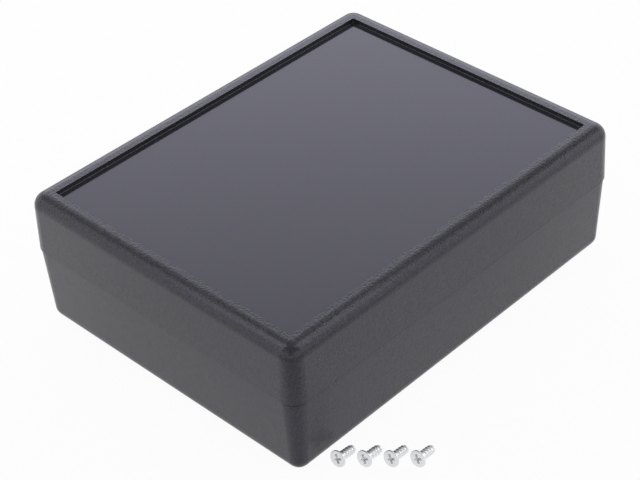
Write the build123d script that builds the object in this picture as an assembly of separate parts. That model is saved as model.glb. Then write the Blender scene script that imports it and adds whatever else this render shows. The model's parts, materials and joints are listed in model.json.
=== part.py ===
from build123d import *
import os
from math import atan2, cos, radians, sin

# A small black ABS instrument case: a moulded base and a moulded cover that meet at a parting
# line with a tongue and rebate, and four countersunk thread-forming screws that go in from below.
# X runs along the long side, Y along the short side, and Z = 0 is the underside of the base.

# Case, over the cover's lower edge
case_length = 140.0
case_width = 109.0
case_height = 46.0
parting_height = 26.8
corner_radius = 5.2
cover_overhang = 0.3
cover_draft = 1.7
base_draft = 3.0
cover_edge_radius = 4.2
base_edge_radius = 3.8
base_rim_break = 0.4

# Walls: only the base needs a round inner edge to keep its wall's thickness round the outer one
wall = 2.2
base_floor = 2.2
cover_roof = 2.2
base_inner_edge_radius = 2.0
least_inner_corner = 0.5

# Recess in the cover's top for a front panel sheet
recess_margin = 6.5
recess_depth = 1.6
recess_corner_radius = 0.5
recess_foot_radius = 0.3

# Tongue on the base's wall, and the rebate in the cover's wall that it enters
tongue_height = 1.4
tongue_thickness = 1.0
tongue_side_clearance = 0.15
tongue_end_clearance = 0.3
tongue_lead = 0.25

# Screw posts of the base and screw bosses of the cover
post_inset = 9.0
post_radius = 4.2
post_end_gap = 0.3
post_web_width = 5.0
post_clamp_length = 3.2
boss_radius = 3.6
boss_web_width = 2.0
pilot_radius = 1.2
pilot_depth = 7.0

# Board bosses on the base's floor
board_spacing_x = 100.0
board_spacing_y = 80.0
board_boss_radius = 3.0
board_boss_height = 4.0
board_pilot_radius = 1.2
board_pilot_depth = 4.8
board_rib_length = 3.0
board_rib_width = 1.2
board_rib_drop = 1.2

# Countersunk thread-forming screw with a blunt end, 2.9 x 7
screw_length = 7.1
screw_thread_radius = 1.4
screw_head_radius = 2.56
screw_head_rim = 0.25
screw_end_chamfer = 0.4
screw_hole_clearance = 0.15
well_clearance = 0.4
cross_reach = 1.5
cross_width = 0.8
cross_depth = 1.2
cross_taper = 8.0

# Where the four screws lie, taken out, in front of the case
screw_count = 4
first_screw_inset = 11.51
first_screw_gap = 3.33
screw_step_x = 4.82
screw_step_y = -5.59
screw_heading = 4.1
screw_roll = 64.0

# Worked out from the sizes above
half_length = case_length / 2
half_width = case_width / 2
cover_height = case_height - parting_height
inner_inset = cover_overhang + wall
tongue_outer_inset = inner_inset - tongue_thickness
rebate_inset = tongue_outer_inset - tongue_side_clearance
rebate_height = tongue_height + tongue_end_clearance
recess_floor_height = case_height - recess_depth
roof_underside = recess_floor_height - cover_roof
post_top = parting_height - post_end_gap / 2
boss_end = parting_height + post_end_gap / 2
well_radius = screw_head_radius + well_clearance
screw_hole_radius = screw_thread_radius + screw_hole_clearance
well_top = post_top - post_clamp_length


def post_places():
    """The four corners of the screw pattern."""
    x = half_length - post_inset
    y = half_width - post_inset
    return [(sx * x, sy * y) for sx in (-1, 1) for sy in (-1, 1)]


def outline(inset):
    """The case's outline at the parting line, moved in by inset."""
    radius = max(corner_radius - inset, least_inner_corner)
    return RectangleRounded(case_length - 2 * inset, case_width - 2 * inset, radius)


def drafted_block(inset, height, draft):
    """A block on the outline that stands on Z = 0 and narrows upwards by the draft."""
    return extrude(outline(inset), amount=height, taper=draft)


def top_edges(solid):
    """The edges round the highest flat face."""
    return solid.faces().sort_by(Axis.Z)[-1].edges()


def webs(x, y, width, low, high):
    """Two webs that tie a post at x, y to the walls of its corner."""
    reach_x = half_length - abs(x)
    reach_y = half_width - abs(y)
    toward_x = x + reach_x / 2 * (1 if x > 0 else -1)
    toward_y = y + reach_y / 2 * (1 if y > 0 else -1)
    height = high - low
    along_x = Pos(toward_x, y, low + height / 2) * Box(reach_x, width, height)
    along_y = Pos(x, toward_y, low + height / 2) * Box(width, reach_y, height)
    return along_x + along_y


def base_block():
    """The outside of the base: its draft narrows it downwards, its bottom edge is round and the
    edge under the cover's lip is broken, which leaves the dark line between the two shells."""
    block = drafted_block(cover_overhang, parting_height, base_draft)
    block = fillet(top_edges(block), base_edge_radius)
    block = chamfer(block.faces().sort_by(Axis.Z)[0].edges(), base_rim_break)
    return Pos(0, 0, parting_height) * Rot(180, 0, 0) * block


def base_hollow():
    """The space inside the base's walls, down to its floor."""
    depth = parting_height - base_floor
    hollow = drafted_block(inner_inset, depth, base_draft)
    hollow = fillet(top_edges(hollow), base_inner_edge_radius)
    return Pos(0, 0, parting_height) * Rot(180, 0, 0) * hollow


def tongue():
    """The rail along the inside of the base's wall top, with a lead on its outer edge."""
    outer = extrude(outline(tongue_outer_inset), amount=tongue_height)
    outer = chamfer(top_edges(outer), tongue_lead)
    inner = extrude(outline(inner_inset), amount=tongue_height)
    return Pos(0, 0, parting_height) * (outer - inner)


def base_posts():
    """Four screw posts with their webs, before they are cut to the base's outside."""
    posts = []
    for x, y in post_places():
        post = Pos(x, y, post_top / 2) * Cylinder(post_radius, post_top)
        posts.append(post + webs(x, y, post_web_width, 0, post_top))
    return posts


def screw_well(x, y):
    """The screw's way in from below: a well, a countersunk seat and a clearance hole."""
    well = Pos(x, y, well_top / 2) * Cylinder(well_radius, well_top)
    seat_height = well_radius - screw_hole_radius
    seat = Pos(x, y, well_top + seat_height / 2) * Cone(well_radius, screw_hole_radius, seat_height)
    hole = Pos(x, y, parting_height / 2) * Cylinder(screw_hole_radius, parting_height)
    return well + seat + hole


def board_boss():
    """A boss for a board screw at the origin, on the floor, with four ribs."""
    height = board_boss_height
    boss = Pos(0, 0, height / 2) * Cylinder(board_boss_radius, height)
    rib_height = height - board_rib_drop
    span = 2 * (board_boss_radius + board_rib_length)
    rib = Polygon(
        (-span / 2, 0), (span / 2, 0), (board_boss_radius, rib_height), (-board_boss_radius, rib_height),
        align=None,
    )
    across = Pos(0, board_rib_width / 2, 0) * extrude(Rot(90, 0, 0) * rib, amount=board_rib_width)
    return boss + across + Rot(0, 0, 90) * across


def board_places():
    """The four corners of the board's hole pattern."""
    return [(sx * board_spacing_x / 2, sy * board_spacing_y / 2) for sx in (-1, 1) for sy in (-1, 1)]


def base_shell():
    """The moulded base."""
    outside = base_block()
    shell = outside - base_hollow()
    for post in base_posts():
        shell += post & outside
    for x, y in board_places():
        shell += Pos(x, y, base_floor) * board_boss()
        pilot_bottom = base_floor + board_boss_height - board_pilot_depth
        pilot = Cylinder(board_pilot_radius, board_pilot_depth, align=(Align.CENTER, Align.CENTER, Align.MIN))
        shell -= Pos(x, y, pilot_bottom) * pilot
    for x, y in post_places():
        shell -= screw_well(x, y)
    return shell + tongue()


def cover_block():
    """The outside of the cover, with its round top edge."""
    block = drafted_block(0, cover_height, cover_draft)
    block = fillet(top_edges(block), cover_edge_radius)
    return Pos(0, 0, parting_height) * block


def cover_hollow():
    """The space inside the cover's walls, up to its roof, and the rebate for the tongue."""
    depth = roof_underside - parting_height
    hollow = drafted_block(inner_inset, depth, cover_draft)
    rebate = extrude(outline(rebate_inset), amount=rebate_height)
    return Pos(0, 0, parting_height) * (hollow + rebate)


def panel_recess():
    """The shallow pocket in the cover's top, with a small radius round its floor."""
    length = case_length - 2 * recess_margin
    width = case_width - 2 * recess_margin
    pocket = extrude(RectangleRounded(length, width, recess_corner_radius), amount=recess_depth)
    foot = pocket.faces().sort_by(Axis.Z)[0].edges()
    return Pos(0, 0, recess_floor_height) * fillet(foot, recess_foot_radius)


def cover_boss(x, y):
    """A screw boss under the cover's roof, with webs to the walls above the rebate."""
    height = roof_underside + cover_roof / 2 - boss_end
    boss = Pos(x, y, boss_end + height / 2) * Cylinder(boss_radius, height)
    web_low = parting_height + rebate_height
    return boss + webs(x, y, boss_web_width, web_low, roof_underside + cover_roof / 2)


def cover_shell():
    """The moulded cover."""
    outside = cover_block()
    shell = outside - cover_hollow()
    for x, y in post_places():
        shell += cover_boss(x, y) & outside
        shell -= Pos(x, y, boss_end + pilot_depth / 2) * Cylinder(pilot_radius, pilot_depth)
    return shell - panel_recess()


def cross_recess():
    """The cross in the screw's head, cut from Z = 0 upwards, which narrows to its foot."""
    slot = extrude(Rectangle(2 * cross_reach, cross_width), amount=cross_depth, taper=cross_taper)
    return slot + Rot(0, 0, 90) * slot


def case_screw():
    """One screw, with the face of its head on Z = 0 and its end up the Z axis."""
    thread_start = screw_head_rim + screw_head_radius - screw_thread_radius
    profile = Polyline(
        (0, 0),
        (screw_head_radius, 0),
        (screw_head_radius, screw_head_rim),
        (screw_thread_radius, thread_start),
        (screw_thread_radius, screw_length - screw_end_chamfer),
        (screw_thread_radius - screw_end_chamfer, screw_length),
        (0, screw_length),
        close=True,
    )
    body = revolve(Plane.XZ * make_face(profile), Axis.Z)
    return body - cross_recess()


def case_screws():
    """The four screws where they lie, each on the rim of its head and the end of its thread."""
    thread_end = screw_length - screw_end_chamfer
    slope = atan2(screw_head_radius - screw_thread_radius, thread_end - screw_head_rim)
    centre_height = screw_head_radius * cos(slope) + screw_head_rim * sin(slope)
    heading = radians(screw_heading)
    along = Vector(cos(heading) * cos(slope), sin(heading) * cos(slope), -sin(slope))
    across = Vector(-sin(heading), cos(heading), 0)
    first_x = -(half_length - first_screw_inset)
    first_y = -(half_width + first_screw_gap)
    screws = []
    for number in range(screw_count):
        centre = Vector(
            first_x + number * screw_step_x, first_y + number * screw_step_y, centre_height
        )
        lying = Plane(origin=centre, x_dir=across, z_dir=along)
        screws.append(lying.location * Rot(0, 0, screw_roll) * case_screw())
    return Compound(children=screws)


def main():
    os.makedirs("parts", exist_ok=True)
    export_step(base_shell(), "parts/base_shell.step")
    export_step(cover_shell(), "parts/cover_shell.step")
    export_step(case_screws(), "parts/case_screws.step")


main()
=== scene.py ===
"""Studio scene of a small black plastic project box, with its four screws lying in front of it."""

from __future__ import annotations

import json
import logging
import math
from dataclasses import dataclass
from enum import Enum

import bmesh
import bpy
from mathutils import Matrix, Vector

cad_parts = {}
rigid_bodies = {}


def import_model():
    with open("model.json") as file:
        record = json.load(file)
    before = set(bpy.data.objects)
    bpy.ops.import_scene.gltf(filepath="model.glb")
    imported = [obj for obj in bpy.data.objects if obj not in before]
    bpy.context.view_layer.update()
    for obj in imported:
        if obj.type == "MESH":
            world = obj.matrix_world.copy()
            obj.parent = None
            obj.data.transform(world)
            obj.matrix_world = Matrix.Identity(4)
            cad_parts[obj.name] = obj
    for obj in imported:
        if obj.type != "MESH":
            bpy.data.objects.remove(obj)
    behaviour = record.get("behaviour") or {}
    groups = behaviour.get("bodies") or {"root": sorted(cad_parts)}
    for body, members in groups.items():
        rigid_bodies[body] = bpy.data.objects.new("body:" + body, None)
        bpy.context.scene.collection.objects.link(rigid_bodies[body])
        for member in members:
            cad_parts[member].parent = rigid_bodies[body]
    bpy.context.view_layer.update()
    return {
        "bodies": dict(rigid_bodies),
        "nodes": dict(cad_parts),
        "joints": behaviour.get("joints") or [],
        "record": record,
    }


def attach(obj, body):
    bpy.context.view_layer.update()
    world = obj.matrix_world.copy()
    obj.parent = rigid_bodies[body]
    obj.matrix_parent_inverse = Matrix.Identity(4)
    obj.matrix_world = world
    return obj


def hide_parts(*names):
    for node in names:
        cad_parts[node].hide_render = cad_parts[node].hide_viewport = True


LOG = logging.getLogger("project_box")
MM = 0.001


def linear(hex_colour: str) -> tuple[float, float, float, float]:
    """Turns an sRGB hex colour to the linear colour that shaders work in.

    Args:
        hex_colour: The colour as "#rrggbb".

    Returns:
        Linear red, green, blue and an alpha of 1.
    """
    channels = [int(hex_colour[i : i + 2], 16) / 255 for i in (1, 3, 5)]
    curve = [c / 12.92 if c <= 0.04045 else ((c + 0.055) / 1.055) ** 2.4 for c in channels]
    return curve[0], curve[1], curve[2], 1.0


def add_node(
    tree: bpy.types.NodeTree, kind: str, inputs: dict | None = None, **settings: object
) -> bpy.types.Node:
    """Adds a node with its settings, and sets or links its inputs.

    Args:
        tree: The shader or geometry tree.
        kind: The node's type name.
        inputs: Input name or number, to a value or to the output socket that feeds it.
        **settings: The node's own properties.

    Returns:
        The new node.
    """
    node = tree.nodes.new(kind)
    for name, value in settings.items():
        setattr(node, name, value)
    for key, value in (inputs or {}).items():
        if isinstance(value, bpy.types.NodeSocket):
            tree.links.new(value, node.inputs[key])
        else:
            node.inputs[key].default_value = value
    return node


def new_material(name: str) -> tuple[bpy.types.Material, bpy.types.NodeTree]:
    """Makes an empty node material.

    Args:
        name: The material's name.

    Returns:
        The material and its tree.
    """
    material = bpy.data.materials.new(name)
    material.use_nodes = True
    material.node_tree.nodes.clear()
    return material, material.node_tree


def dress(obj: bpy.types.Object, material: bpy.types.Material) -> None:
    """Gives the whole object one material."""
    obj.data.materials.clear()
    obj.data.materials.append(material)


def flat_sheet(name: str, size: tuple[float, float]) -> bpy.types.Object:
    """A flat sheet on Z = 0, round the origin.

    Args:
        name: The sheet's name.
        size: Its size along X and Y, in metres.

    Returns:
        The sheet, in the scene.
    """
    half_x, half_y = size[0] / 2, size[1] / 2
    mesh = bmesh.new()
    edge = ((-half_x, -half_y), (half_x, -half_y), (half_x, half_y), (-half_x, half_y))
    mesh.faces.new([mesh.verts.new((x, y, 0.0)) for x, y in edge])
    data = bpy.data.meshes.new(name)
    mesh.to_mesh(data)
    mesh.free()
    sheet = bpy.data.objects.new(name, data)
    bpy.context.scene.collection.objects.link(sheet)
    return sheet


@dataclass(frozen=True)
class MouldedAbs:
    """Black ABS from an injection mould.

    The outside is spark-eroded: a fine even grain that scatters the light and shows as a faint
    sparkle. The sunk panel area and the inside come from plain steel and are smoother. The band
    under the cover's lip is painted shade, near black where the joint lies in shadow, and a thin
    dark line painted round the cover's top, at the start of its edge rounding, is a painted dark
    reflection.
    """

    name: str
    pit_colour: str = "#1a1a1e"
    peak_colour: str = "#353539"
    smooth_colour: str = "#292830"
    # Painted shade: near black, for the shadowed band under the cover's lip and for the painted dark line
    # round the cover's top.
    painted_shade_colour: str = "#08080a"
    ior: float = 1.6
    tint: str = "#f0eeff"
    grain_roughness: float = 0.2
    panel_roughness: float = 0.12
    inside_roughness: float = 0.35
    painted_shade_roughness: float = 0.9
    grain_size_mm: float = 0.6
    grain_depth_mm: float = 0.12
    panel_block_mm: tuple[float, float, float, float] = (63.15, 47.65, 44.2, 45.0)
    inside_block_mm: tuple[float, float, float, float] = (67.6, 52.1, 2.0, 43.0)
    # Where the painted shade lies: the band under the cover's lip, which lies in shadow.
    lip_shade_ring_mm: tuple[float, float, float, float] = (67.6, 52.1, 26.3, 26.79)
    # Painted dark reflection: a thin line round the cover's top, at the start of its edge rounding.
    painted_line_ring_mm: tuple[float, float, float, float] = (64.5, 49.0, 45.7, 45.8)
    painted_line_share: float = 0.6

    def build(self) -> bpy.types.Material:
        """Makes the material."""
        material, tree = new_material(self.name)
        place = add_node(tree, "ShaderNodeTexCoord").outputs["Object"]
        axes = add_node(tree, "ShaderNodeSeparateXYZ", {0: place}).outputs
        panel = self._block_mask(tree, axes, self.panel_block_mm)
        inside = self._block_mask(tree, axes, self.inside_block_mm)
        smooth = self._sum(tree, panel, inside, "MAXIMUM")
        # Painted shade under the cover's lip, joined with a painted dark reflection line round the top.
        painted_shade = self._ring_mask(tree, axes, self.lip_shade_ring_mm)
        # The painted dark reflection line, at part strength.
        painted_line = self._ring_mask(tree, axes, self.painted_line_ring_mm)
        painted_line = self._sum(tree, painted_line, self.painted_line_share, "MULTIPLY")
        painted_shade = self._sum(tree, painted_shade, painted_line, "MAXIMUM")
        grain = add_node(
            tree,
            "ShaderNodeTexNoise",
            {"Vector": place, "Scale": 1 / (self.grain_size_mm * MM), "Detail": 3.0, "Roughness": 0.6},
        )
        grained = self._sum(tree, 1.0, smooth, "SUBTRACT")
        bump = add_node(
            tree,
            "ShaderNodeBump",
            {
                "Height": self._sum(tree, grain.outputs["Fac"], grained, "MULTIPLY"),
                "Distance": self.grain_depth_mm * MM,
                "Strength": 1.0,
            },
        )
        height = add_node(
            tree,
            "ShaderNodeMapRange",
            {"Value": grain.outputs["Fac"], "From Min": 0.35, "From Max": 0.65},
        )
        pits, peaks = linear(self.pit_colour), linear(self.peak_colour)
        speckle = self._tone(tree, height.outputs["Result"], pits, peaks)
        colour = self._tone(tree, smooth, speckle, linear(self.smooth_colour))
        # Paints the shade under the lip and the dark reflection line near black.
        colour = self._tone(tree, painted_shade, colour, linear(self.painted_shade_colour))
        moulded = self._blend(tree, panel, self.grain_roughness, self.panel_roughness)
        moulded = self._blend(tree, inside, moulded, self.inside_roughness)
        shader = add_node(
            tree,
            "ShaderNodeBsdfPrincipled",
            {
                "Base Color": colour,
                "Roughness": self._blend(tree, painted_shade, moulded, self.painted_shade_roughness),
                "IOR": self.ior,
                "Specular Tint": linear(self.tint),
                "Normal": bump.outputs[0],
            },
        )
        add_node(tree, "ShaderNodeOutputMaterial", {"Surface": shader.outputs[0]})
        return material

    def _block_mask(
        self,
        tree: bpy.types.NodeTree,
        axes: bpy.types.bpy_prop_collection,
        block_mm: tuple[float, float, float, float],
    ) -> bpy.types.NodeSocket:
        """One in a block round the Z axis and 0 elsewhere.

        Args:
            tree: The material's tree.
            axes: The X, Y and Z of the place on the object.
            block_mm: Half the block's length and width, and its lowest and highest level.

        Returns:
            The mask.
        """
        along, across = self._within(tree, axes, block_mm, "LESS_THAN")
        slab = self._slab_mask(tree, axes["Z"], block_mm)
        return self._sum(tree, self._sum(tree, along, across, "MULTIPLY"), slab, "MULTIPLY")

    def _ring_mask(
        self,
        tree: bpy.types.NodeTree,
        axes: bpy.types.bpy_prop_collection,
        ring_mm: tuple[float, float, float, float],
    ) -> bpy.types.NodeSocket:
        """One in a level band round the outside and 0 elsewhere.

        Args:
            tree: The material's tree.
            axes: The X, Y and Z of the place on the object.
            ring_mm: Half the length and half the width that the band lies outside, and its lowest
                and highest level.

        Returns:
            The mask.
        """
        along, across = self._within(tree, axes, ring_mm, "GREATER_THAN")
        slab = self._slab_mask(tree, axes["Z"], ring_mm)
        return self._sum(tree, self._sum(tree, along, across, "MAXIMUM"), slab, "MULTIPLY")

    def _within(
        self,
        tree: bpy.types.NodeTree,
        axes: bpy.types.bpy_prop_collection,
        sizes_mm: tuple[float, float, float, float],
        test: str,
    ) -> tuple[bpy.types.NodeSocket, bpy.types.NodeSocket]:
        """What a test gives for the distance along X and along Y."""
        along = self._sum(tree, self._size(tree, axes["X"]), sizes_mm[0] * MM, test)
        across = self._sum(tree, self._size(tree, axes["Y"]), sizes_mm[1] * MM, test)
        return along, across

    def _slab_mask(
        self,
        tree: bpy.types.NodeTree,
        height: bpy.types.NodeSocket,
        sizes_mm: tuple[float, float, float, float],
    ) -> bpy.types.NodeSocket:
        """One between the last two sizes as levels, and 0 elsewhere."""
        low = self._sum(tree, height, sizes_mm[2] * MM, "GREATER_THAN")
        high = self._sum(tree, height, sizes_mm[3] * MM, "LESS_THAN")
        return self._sum(tree, low, high, "MULTIPLY")

    @staticmethod
    def _size(tree: bpy.types.NodeTree, value: bpy.types.NodeSocket) -> bpy.types.NodeSocket:
        """The value without its sign."""
        return add_node(tree, "ShaderNodeMath", {0: value}, operation="ABSOLUTE").outputs[0]

    @staticmethod
    def _sum(
        tree: bpy.types.NodeTree,
        first: bpy.types.NodeSocket | float,
        second: bpy.types.NodeSocket | float,
        operation: str,
    ) -> bpy.types.NodeSocket:
        """What a sum, a product or a test gives for two values."""
        return add_node(tree, "ShaderNodeMath", {0: first, 1: second}, operation=operation).outputs[0]

    @staticmethod
    def _tone(
        tree: bpy.types.NodeTree,
        share: bpy.types.NodeSocket,
        off: bpy.types.NodeSocket | tuple[float, float, float, float],
        on: tuple[float, float, float, float],
    ) -> bpy.types.NodeSocket:
        """The second colour where the share is 1, the first where it is 0."""
        return add_node(tree, "ShaderNodeMix", {0: share, 6: off, 7: on}, data_type="RGBA").outputs[2]

    @staticmethod
    def _blend(
        tree: bpy.types.NodeTree,
        mask: bpy.types.NodeSocket,
        off: bpy.types.NodeSocket | float,
        on: float,
    ) -> bpy.types.NodeSocket:
        """The second value where the mask is 1, and the first elsewhere."""
        return add_node(tree, "ShaderNodeMix", {0: mask, 2: off, 3: on}, data_type="FLOAT").outputs[0]


@dataclass(frozen=True)
class ZincPlate:
    """Bright zinc on steel: a clear, slightly blue metal that mirrors softly.

    The plate's thin haze scatters a part of the light, so that no place is wholly dark.
    """

    name: str = "bright_zinc"
    colour: str = "#fbfcfd"
    roughness: float = 0.3
    metallic: float = 0.75
    grain_size_mm: float = 0.25
    grain_depth_mm: float = 0.004

    def build(self) -> bpy.types.Material:
        """Makes the material."""
        material, tree = new_material(self.name)
        place = add_node(tree, "ShaderNodeTexCoord").outputs["Object"]
        grain = add_node(
            tree,
            "ShaderNodeTexNoise",
            {"Vector": place, "Scale": 1 / (self.grain_size_mm * MM), "Detail": 2.0},
        )
        bump = add_node(
            tree,
            "ShaderNodeBump",
            {"Height": grain.outputs["Fac"], "Distance": self.grain_depth_mm * MM},
        )
        shader = add_node(
            tree,
            "ShaderNodeBsdfPrincipled",
            {
                "Base Color": linear(self.colour),
                "Metallic": self.metallic,
                "Roughness": self.roughness,
                "Normal": bump.outputs[0],
            },
        )
        add_node(tree, "ShaderNodeOutputMaterial", {"Surface": shader.outputs[0]})
        return material


@dataclass
class CaseShells:
    """The moulded base and cover, which come from the CAD model as they are."""

    finishes: tuple[tuple[str, MouldedAbs], ...] = (
        ("cover_shell", MouldedAbs("black_abs_of_cover")),
        # The base's dimmer specular tint is painted shade, for the darker floor that it mirrors near the
        # case.
        ("base_shell", MouldedAbs("black_abs_of_base", tint="#c9c8df")),
    )

    def build(self, frame: dict) -> None:
        """Dresses the two shells. The base's dimmer specular tint is painted shade: it dims what the base
        mirrors, for the darker floor near the case.

        Args:
            frame: The loaded frame.
        """
        for name, finish in self.finishes:
            dress(frame["nodes"][name], finish.build())
            LOG.info("dressed %s", name)


@dataclass
class CaseScrews:
    """Four thread-forming screws, each a turned blank with a rolled thread and a cross recess.

    They lie where the CAD screws lie, each on the rim of its head and the end of its thread.
    """

    zinc: bpy.types.Material
    length: float = 7.1
    head_radius: float = 2.56
    head_rim: float = 0.4
    head_edge: float = 0.1
    core_radius: float = 1.08
    crest_radius: float = 1.4
    pitch: float = 1.1
    neck: float = 0.25
    crest_share: float = 0.1
    flank_share: float = 0.5
    end_chamfer: float = 0.4
    around: int = 48
    rows_per_pitch: int = 14
    cross_reach: float = 1.5
    cross_half_width: float = 0.4
    cross_depth: float = 1.45
    cross_foot_reach: float = 0.6
    cross_foot_half_width: float = 0.27
    count: int = 4
    first_x: float = -58.49
    first_y: float = -57.83
    step_x: float = 4.82
    step_y: float = -5.59
    heading_deg: float = 4.1
    roll_deg: float = 64.0
    body: str = "base"
    node: str = "case_screws"

    def build(self) -> bpy.types.Object:
        """Makes the four screws as one piece.

        Returns:
            The piece, riding on the base and standing for the CAD screws.
        """
        screw = self._screw()
        piece = self._row(screw)
        bpy.data.objects.remove(screw)
        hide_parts(self.node)
        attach(piece, self.body)
        LOG.info("built %d screws, %d faces", self.count, len(piece.data.polygons))
        return piece

    def _profile(self) -> list[tuple[float, float, float]]:
        """Radius, height and share of thread, from the head's face to the blunt end."""
        cone_end = self.head_rim + self.head_radius - self.core_radius
        thread_start = cone_end + self.neck
        thread_end = self.length - self.end_chamfer
        rows = [
            (self.head_radius - self.head_edge, 0.0, 0.0),
            (self.head_radius, self.head_edge, 0.0),
            (self.head_radius, self.head_rim, 0.0),
            (self.core_radius + 0.1, cone_end - 0.1, 0.0),
            (self.core_radius, cone_end, 0.0),
        ]
        count = round((thread_end - thread_start) / self.pitch * self.rows_per_pitch)
        for row in range(count + 1):
            height = thread_start + (thread_end - thread_start) * row / count
            rise = min((height - thread_start) / (0.4 * self.pitch), 1.0)
            fall = min(0.55 + 0.45 * (thread_end - height) / self.pitch, 1.0)
            rows.append((self.core_radius, height, rise * fall))
        rows.append((self.core_radius * 0.8, self.length, 0.0))
        return rows

    def _ridge(self, height: float, turn: float) -> float:
        """How far the thread stands out at a height and a share of a turn, from 0 to 1."""
        phase = (height / self.pitch - turn) % 1.0
        off_crest = abs(phase - 0.5) * 2 - self.crest_share
        return 1.0 - min(max(off_crest / self.flank_share, 0.0), 1.0)

    def _screw(self) -> bpy.types.Object:
        """One screw with its head's face on Z = 0 and its end up the Z axis."""
        mesh = bmesh.new()
        rings = []
        for radius, height, share in self._profile():
            ring = []
            for step in range(self.around):
                turn = step / self.around
                lift = (self.crest_radius - self.core_radius) * share * self._ridge(height, turn)
                angle = 2 * math.pi * turn
                out = (radius + lift) * MM
                ring.append(mesh.verts.new((out * math.cos(angle), out * math.sin(angle), height * MM)))
            rings.append(ring)
        for low, high in zip(rings, rings[1:]):
            for step in range(self.around):
                after = (step + 1) % self.around
                mesh.faces.new((low[step], low[after], high[after], high[step]))
        mesh.faces.new(list(reversed(rings[0])))
        mesh.faces.new(rings[-1])
        blank = self._object("screw_blank", mesh)
        cutter = self._cross()
        cut = blank.modifiers.new("cross", "BOOLEAN")
        cut.operation = "DIFFERENCE"
        cut.solver = "EXACT"
        cut.object = cutter
        done = self._applied(blank, "screw")
        for spare in (blank, cutter):
            bpy.data.objects.remove(spare)
        return done

    def _cross(self) -> bpy.types.Object:
        """The punch that leaves the cross recess: four wings that narrow and draw in with depth."""
        mesh = bmesh.new()
        sections = (
            (-0.05, self.cross_reach, self.cross_half_width),
            (self.cross_depth, self.cross_foot_reach, self.cross_foot_half_width),
        )
        rings = []
        for height, reach, half in sections:
            corners = []
            for quarter in range(4):
                spin = Matrix.Rotation(quarter * math.pi / 2, 3, "Z")
                for x, y in ((half, half), (reach, half), (reach, -half)):
                    corners.append(spin @ Vector((x, -y, height)) * MM)
            rings.append([mesh.verts.new(c) for c in corners])
        size = len(rings[0])
        for step in range(size):
            after = (step + 1) % size
            mesh.faces.new((rings[0][step], rings[0][after], rings[1][after], rings[1][step]))
        mesh.faces.new(list(reversed(rings[0])))
        mesh.faces.new(rings[1])
        bmesh.ops.recalc_face_normals(mesh, faces=mesh.faces)
        return self._object("cross_punch", mesh)

    @staticmethod
    def _object(name: str, mesh: bmesh.types.BMesh) -> bpy.types.Object:
        """Turns a bmesh to an object in the scene."""
        data = bpy.data.meshes.new(name)
        mesh.to_mesh(data)
        mesh.free()
        obj = bpy.data.objects.new(name, data)
        bpy.context.scene.collection.objects.link(obj)
        return obj

    @staticmethod
    def _applied(obj: bpy.types.Object, name: str) -> bpy.types.Object:
        """A new object that holds the mesh which the object's modifiers give."""
        graph = bpy.context.evaluated_depsgraph_get()
        data = bpy.data.meshes.new_from_object(obj.evaluated_get(graph))
        data.name = name
        done = bpy.data.objects.new(name, data)
        bpy.context.scene.collection.objects.link(done)
        return done

    def _row(self, screw: bpy.types.Object) -> bpy.types.Object:
        """Lays copies of the screw in their row with a Geometry Nodes tree.

        Args:
            screw: One screw, head down on Z = 0.

        Returns:
            The row as a plain mesh.
        """
        tree = self._row_tree()
        host = bpy.data.objects.new("screw_row", bpy.data.meshes.new("screw_row"))
        bpy.context.scene.collection.objects.link(host)
        modifier = host.modifiers.new("row", "NODES")
        modifier.node_group = tree
        slope = math.atan2(
            self.head_radius - self.crest_radius, self.length - self.end_chamfer - self.head_rim
        )
        centre = self.head_radius * math.cos(slope) + self.head_rim * math.sin(slope)
        heading = math.radians(self.heading_deg)
        along = Vector(
            (math.cos(heading) * math.cos(slope), math.sin(heading) * math.cos(slope), -math.sin(slope))
        )
        across = Vector((-math.sin(heading), math.cos(heading), 0.0))
        lying = Matrix((across, along.cross(across), along)).transposed()
        lying = lying @ Matrix.Rotation(math.radians(self.roll_deg), 3, "Z")
        values = {
            "Screw": screw,
            "Count": self.count,
            "First": (self.first_x * MM, self.first_y * MM, centre * MM),
            "Step": (self.step_x * MM, self.step_y * MM, 0.0),
            "Rotation": lying.to_euler(),
            "Material": self.zinc,
        }
        for socket in tree.interface.items_tree:
            if socket.in_out == "INPUT" and socket.name in values:
                modifier[socket.identifier] = values[socket.name]
        piece = self._applied(host, "threaded_screws")
        bpy.data.objects.remove(host)
        return piece

    def _row_tree(self) -> bpy.types.NodeTree:
        """The tree that sets copies of one object along a line."""
        tree = bpy.data.node_groups.new("row_of_screws", "GeometryNodeTree")
        for name, kind in (
            ("Screw", "NodeSocketObject"),
            ("Count", "NodeSocketInt"),
            ("First", "NodeSocketVector"),
            ("Step", "NodeSocketVector"),
            ("Rotation", "NodeSocketRotation"),
            ("Material", "NodeSocketMaterial"),
        ):
            tree.interface.new_socket(name, in_out="INPUT", socket_type=kind)
        tree.interface.new_socket("Geometry", in_out="OUTPUT", socket_type="NodeSocketGeometry")
        given = add_node(tree, "NodeGroupInput").outputs
        line = add_node(
            tree,
            "GeometryNodeMeshLine",
            {"Count": given["Count"], "Start Location": given["First"], "Offset": given["Step"]},
            mode="OFFSET",
        )
        shape = add_node(tree, "GeometryNodeObjectInfo", {"Object": given["Screw"]})
        copies = add_node(
            tree,
            "GeometryNodeInstanceOnPoints",
            {
                "Points": line.outputs["Mesh"],
                "Instance": shape.outputs["Geometry"],
                "Rotation": given["Rotation"],
            },
        )
        real = add_node(tree, "GeometryNodeRealizeInstances", {"Geometry": copies.outputs["Instances"]})
        dressed = add_node(
            tree,
            "GeometryNodeSetMaterial",
            {"Geometry": real.outputs["Geometry"], "Material": given["Material"]},
        )
        add_node(tree, "NodeGroupOutput", {"Geometry": dressed.outputs["Geometry"]})
        return tree


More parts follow.
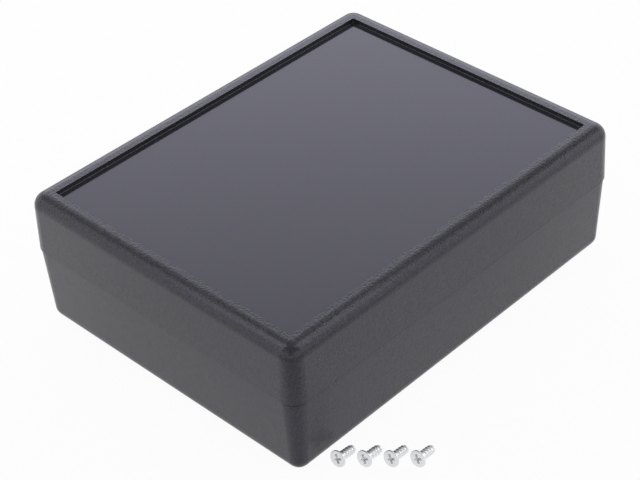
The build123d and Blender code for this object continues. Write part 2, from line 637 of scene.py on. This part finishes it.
@dataclass
class StudioCamera:
    """The camera of the photograph, worked out from the case's own edges.

    The photograph is trimmed more on one side than on the other, so its optical axis lies beside
    the middle of the frame.
    """

    azimuth_deg: float = -47.321
    elevation_deg: float = 38.199
    roll_deg: float = -1.321
    distance_mm: float = 550.44
    aim_right_mm: float = 21.722
    aim_up_mm: float = -5.917
    aim_height_mm: float = 22.5
    focal_px: float = 1804.5
    off_axis_px: float = 80.0
    frame_px: float = 640.0
    sensor_mm: float = 36.0

    def build(self) -> bpy.types.Object:
        """Makes the camera and hands it to the scene.

        Returns:
            The camera.
        """
        azimuth = math.radians(self.azimuth_deg)
        elevation = math.radians(self.elevation_deg)
        roll = math.radians(self.roll_deg)
        back = Vector(
            (
                math.sin(azimuth) * math.cos(elevation),
                -math.cos(azimuth) * math.cos(elevation),
                math.sin(elevation),
            )
        )
        level = (-back).cross(Vector((0, 0, 1))).normalized()
        plumb = level.cross(-back)
        right = math.cos(roll) * level + math.sin(roll) * plumb
        up = -math.sin(roll) * level + math.cos(roll) * plumb
        place = (
            Vector((0, 0, self.aim_height_mm))
            + back * self.distance_mm
            + right * self.aim_right_mm
            + up * self.aim_up_mm
        )
        data = bpy.data.cameras.new("studio_camera")
        data.lens = self.focal_px / self.frame_px * self.sensor_mm
        data.sensor_width = self.sensor_mm
        data.shift_x = -self.off_axis_px / self.frame_px
        data.clip_start = 0.01
        data.clip_end = 20.0
        camera = bpy.data.objects.new("studio_camera", data)
        camera.matrix_world = Matrix((right, up, back)).transposed().to_4x4()
        camera.location = place * MM
        bpy.context.scene.collection.objects.link(camera)
        bpy.context.scene.camera = camera
        return camera


class Fade(Enum):
    """How a softbox's brightness runs over its face."""

    EVEN = "even"
    UPWARDS = "upwards"


@dataclass(frozen=True)
class SoftBox:
    """A studio lamp that faces the case.

    Args:
        name: The lamp's name.
        place: Where it stands, in metres.
        size: Its width and height, in metres.
        power: Its power in watts, at full brightness all over.
        colour: The colour of its light.
        fade: Whether it dims from its lower edge to its upper one.
        mirrored: Whether the case mirrors it. A side lamp would make the panel area white.
    """

    name: str
    place: tuple[float, float, float]
    size: tuple[float, float]
    power: float
    colour: str = "#ffffff"
    fade: Fade = Fade.EVEN
    mirrored: bool = True

    def build(self) -> bpy.types.Object:
        """Makes the lamp, turned towards the case."""
        data = bpy.data.lights.new(self.name, "AREA")
        data.shape = "RECTANGLE"
        data.size, data.size_y = self.size
        data.energy = self.power
        data.color = linear(self.colour)[:3]
        if self.fade is Fade.UPWARDS:
            self._dim_upwards(data)
        lamp = bpy.data.objects.new(self.name, data)
        lamp.location = self.place
        lamp.rotation_mode = "QUATERNION"
        lamp.rotation_quaternion = (-Vector(self.place)).to_track_quat("-Z", "Y")
        lamp.visible_glossy = self.mirrored
        bpy.context.scene.collection.objects.link(lamp)
        return lamp

    def _dim_upwards(self, data: bpy.types.AreaLight) -> None:
        """Lets the lamp's brightness fall to nothing at its upper edge."""
        data.use_nodes = True
        tree = data.node_tree
        tree.nodes.clear()
        place = Vector(self.place)
        lean = place.z / place.length
        half_rise = self.size[1] / 2 * math.sqrt(1 - lean * lean)
        spot = add_node(tree, "ShaderNodeNewGeometry").outputs["Position"]
        level = add_node(tree, "ShaderNodeSeparateXYZ", {0: spot}).outputs["Z"]
        share = add_node(
            tree,
            "ShaderNodeMapRange",
            {
                "Value": level,
                "From Min": place.z - half_rise,
                "From Max": place.z + half_rise,
                "To Min": 1.0,
                "To Max": 0.0,
            },
        )
        glow = add_node(tree, "ShaderNodeEmission", {"Strength": share.outputs["Result"]})
        add_node(tree, "ShaderNodeOutputLight", {"Surface": glow.outputs[0]})


@dataclass(frozen=True)
class Card:
    """A card that only mirrored rays see, which dims or lifts what a surface mirrors.

    Args:
        name: The card's name.
        place: Where it hangs, in metres.
        size: Its size along its own X and Y, in metres.
        level: How bright it is, where 1 is as bright as the surround.
        turn_deg: How far it is turned about X, Y and Z. None faces it towards the case.
    """

    name: str
    place: tuple[float, float, float]
    size: tuple[float, float]
    level: float
    turn_deg: tuple[float, float, float] | None = None

    def build(self) -> bpy.types.Object:
        """Makes the card."""
        card = flat_sheet(self.name, self.size)
        material, tree = new_material(self.name)
        glow = add_node(tree, "ShaderNodeEmission", {"Strength": self.level})
        add_node(tree, "ShaderNodeOutputMaterial", {"Surface": glow.outputs[0]})
        dress(card, material)
        if self.turn_deg is None:
            card.rotation_mode = "QUATERNION"
            card.rotation_quaternion = Vector(self.place).to_track_quat("Z", "Y")
        else:
            card.rotation_euler = [math.radians(angle) for angle in self.turn_deg]
        card.location = self.place
        card.visible_camera = False
        card.visible_diffuse = False
        card.visible_shadow = False
        return card


@dataclass
class Studio:
    """A plain white table, a white surround and soft lamps."""

    floor_side: float = 8.0
    floor_colour: str = "#e6e6e6"
    floor_glow: float = 0.95
    mirrored_glow: float = 1.0
    # Painted light on the floor as the case mirrors it: stronger towards the back, weaker in front.
    mirrored_strength: tuple[float, float] = (0.82, 1.0)
    mirrored_reach: tuple[float, float] = (-0.05, 0.03)
    mirrored_lean: tuple[float, float, float] = (0.9, 1.1, 0.0)
    near_reach: tuple[float, float] = (-0.19, -0.14)
    near_share: float = 0.61
    surround: str = "#e0e0e2"
    surround_strength: float = 0.8
    lamps: tuple[SoftBox, ...] = (
        SoftBox("back_lamp", (0.82, 0.755, 0.67), (1.6, 0.8), 7.7, "#e8e8ff", Fade.UPWARDS),
        SoftBox("right_lamp", (1.13, -0.2, 0.61), (1.0, 0.9), 6.0, mirrored=False),
        SoftBox("left_lamp", (-0.14, 1.14, 0.61), (1.0, 0.9), 6.0, mirrored=False),
    )
    cards: tuple[Card, ...] = (
        Card("camera_card", (-0.46, -0.43, 0.5), (0.5, 0.5), 0.3),
        Card("ceiling_card", (0.0, 0.0, 1.2), (2.06, 5.0), 0.35, (0.0, 0.0, 45.0)),
        Card("left_reflector", (-0.13, 0.045, 0.19), (0.04, 0.11), 3.2),
        Card("right_reflector", (0.03, -0.11, 0.2), (0.04, 0.11), 3.2),
        Card("low_left_reflector", (-0.153, 0.0486, 0.145), (0.035, 0.06), 2.0),
        Card("low_right_reflector", (0.024, -0.1356, 0.152), (0.03, 0.06), 2.6),
        Card("far_left_reflector", (-0.58, 0.86, 0.6), (0.45, 0.5), 1.3),
        Card("far_right_reflector", (0.857, -0.623, 0.563), (0.56, 0.5), 1.5),
    )

    def build(self) -> None:
        """Makes the floor, the surround, the lamps, the cards and the view settings."""
        self._floor()
        self._world()
        for lamp in self.lamps:
            lamp.build()
        for card in self.cards:
            card.build()
        bpy.context.scene.view_settings.view_transform = "Standard"

    def _floor(self) -> None:
        """A level sheet that the camera sees as white but for the shadow of the case.

        The glow that the case mirrors is painted light: brighter towards the back, where the lamps
        stand, and dimmer in front.
        """
        floor = flat_sheet("floor", (self.floor_side, self.floor_side))
        material, tree = new_material("pale_table")
        path = add_node(tree, "ShaderNodeLightPath").outputs
        paper = add_node(tree, "ShaderNodeBsdfDiffuse", {"Color": linear(self.floor_colour)})
        white = add_node(tree, "ShaderNodeEmission", {"Color": (1.0, 1.0, 1.0, 1.0), "Strength": 1.0})
        spot = add_node(tree, "ShaderNodeTexCoord").outputs["Object"]
        # Painted light: the glow that the case mirrors rises towards the back and falls in front.
        away = add_node(
            tree, "ShaderNodeVectorMath", {0: spot, 1: self.mirrored_lean}, operation="DOT_PRODUCT"
        )
        rise = add_node(
            tree,
            "ShaderNodeMapRange",
            {
                "Value": away.outputs["Value"],
                "From Min": self.mirrored_reach[0],
                "From Max": self.mirrored_reach[1],
                "To Min": self.mirrored_strength[0],
                "To Max": self.mirrored_strength[1],
            },
            interpolation_type="SMOOTHSTEP",
        )
        near = add_node(
            tree,
            "ShaderNodeMapRange",
            {
                "Value": away.outputs["Value"],
                "From Min": self.near_reach[0],
                "From Max": self.near_reach[1],
                "To Min": self.near_share,
                "To Max": 1.0,
            },
            interpolation_type="SMOOTHSTEP",
        )
        both = {0: rise.outputs["Result"], 1: near.outputs["Result"]}
        strength = add_node(tree, "ShaderNodeMath", both, operation="MULTIPLY").outputs[0]
        mirrored = add_node(tree, "ShaderNodeEmission", {"Strength": strength})
        surface = paper.outputs[0]
        for seen, glow, shine in (
            (path["Is Camera Ray"], self.floor_glow, white),
            (path["Is Glossy Ray"], self.mirrored_glow, mirrored),
        ):
            share = add_node(tree, "ShaderNodeMath", {0: seen, 1: glow}, operation="MULTIPLY")
            mixed = add_node(
                tree, "ShaderNodeMixShader", {0: share.outputs[0], 1: surface, 2: shine.outputs[0]}
            )
            surface = mixed.outputs[0]
        add_node(tree, "ShaderNodeOutputMaterial", {"Surface": surface})
        dress(floor, material)

    def _world(self) -> None:
        """A plain surround that lights the case, and that camera and mirror rays see as white."""
        world = bpy.data.worlds.new("surround")
        world.use_nodes = True
        tree = world.node_tree
        tree.nodes.clear()
        seen = self._seen_directly(tree)
        lit = add_node(
            tree,
            "ShaderNodeBackground",
            {"Color": linear(self.surround), "Strength": self.surround_strength},
        )
        white = add_node(tree, "ShaderNodeBackground", {"Color": (1.0, 1.0, 1.0, 1.0), "Strength": 1.0})
        mixed = add_node(tree, "ShaderNodeMixShader", {0: seen, 1: lit.outputs[0], 2: white.outputs[0]})
        add_node(tree, "ShaderNodeOutputWorld", {"Surface": mixed.outputs[0]})
        bpy.context.scene.world = world

    @staticmethod
    def _seen_directly(tree: bpy.types.NodeTree) -> bpy.types.NodeSocket:
        """One for rays from the camera, mirrored rays and rays through glass, else 0."""
        path = add_node(tree, "ShaderNodeLightPath").outputs
        first = add_node(
            tree, "ShaderNodeMath", {0: path["Is Camera Ray"], 1: path["Is Glossy Ray"]}, operation="MAXIMUM"
        )
        both = add_node(
            tree, "ShaderNodeMath", {0: first.outputs[0], 1: path["Is Transmission Ray"]}, operation="MAXIMUM"
        )
        return both.outputs[0]


def corners(box: tuple[Vector, Vector]) -> list[list[float]]:
    """A box's lowest and highest corner as plain lists."""
    return [list(box[0]), list(box[1])]


def main() -> None:
    """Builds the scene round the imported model."""
    logging.basicConfig(level=logging.INFO, format="%(name)s: %(message)s")
    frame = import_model()
    CaseShells().build(frame)
    CaseScrews(ZincPlate().build()).build()
    Studio().build()
    StudioCamera().build()


if __name__ == "__main__":
    main()
